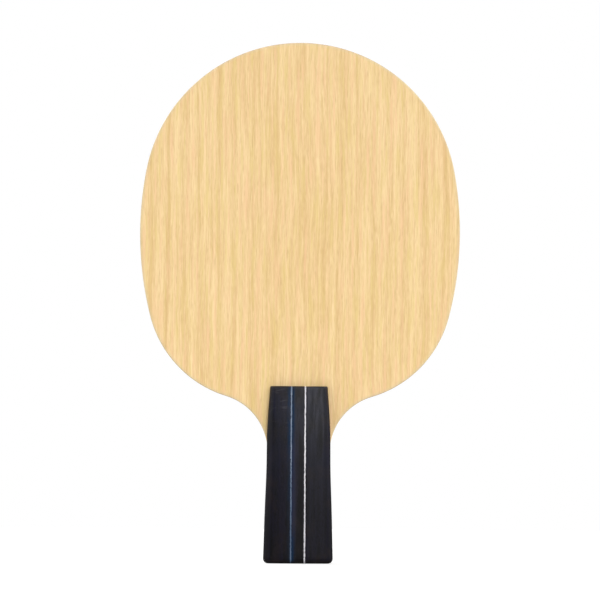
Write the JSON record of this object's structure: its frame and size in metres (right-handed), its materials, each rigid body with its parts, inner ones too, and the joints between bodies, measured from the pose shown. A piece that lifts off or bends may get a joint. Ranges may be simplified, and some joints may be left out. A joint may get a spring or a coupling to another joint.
{
  "type": "table tennis paddle",
  "caption": "Bare penhold table tennis blade: oval plywood head with a short dark laminated handle striped blue and white.",
  "frame": {"origin": "centre of the butt end of the handle", "axes": "+Z from the butt up the handle to the crown of the head, X across the width, Y through the thickness, with the front facing -Y"},
  "size_m": [0.15, 0.0232, 0.244],
  "materials": {
    "face_veneer": "fine-sanded pale straight-grained veneer, unlacquered",
    "inner_veneer": "cross-laid veneer, seen only at its sanded edge",
    "core_wood": "soft pale core wood, seen only at its sanded edge",
    "dyed_black_wood": "dyed-through black wood, fine-sanded, satin",
    "dyed_blue_veneer": "dyed-through blue veneer, fine-sanded, satin",
    "bleached_veneer": "bleached white veneer, fine-sanded, satin"
  },
  "bodies": {
    "root": {"front_face_ply": "face_veneer", "front_inner_ply": "inner_veneer", "core_ply": "core_wood", "back_inner_ply": "inner_veneer", "back_face_ply": "face_veneer", "front_scale_left_block": "dyed_black_wood", "front_scale_blue_veneer": "dyed_blue_veneer", "front_scale_centre_block": "dyed_black_wood", "front_scale_white_veneer": "bleached_veneer", "front_scale_right_block": "dyed_black_wood", "back_scale_left_block": "dyed_black_wood", "back_scale_blue_veneer": "dyed_blue_veneer", "back_scale_centre_block": "dyed_black_wood", "back_scale_white_veneer": "bleached_veneer", "back_scale_right_block": "dyed_black_wood"}
  },
  "joints": []
}
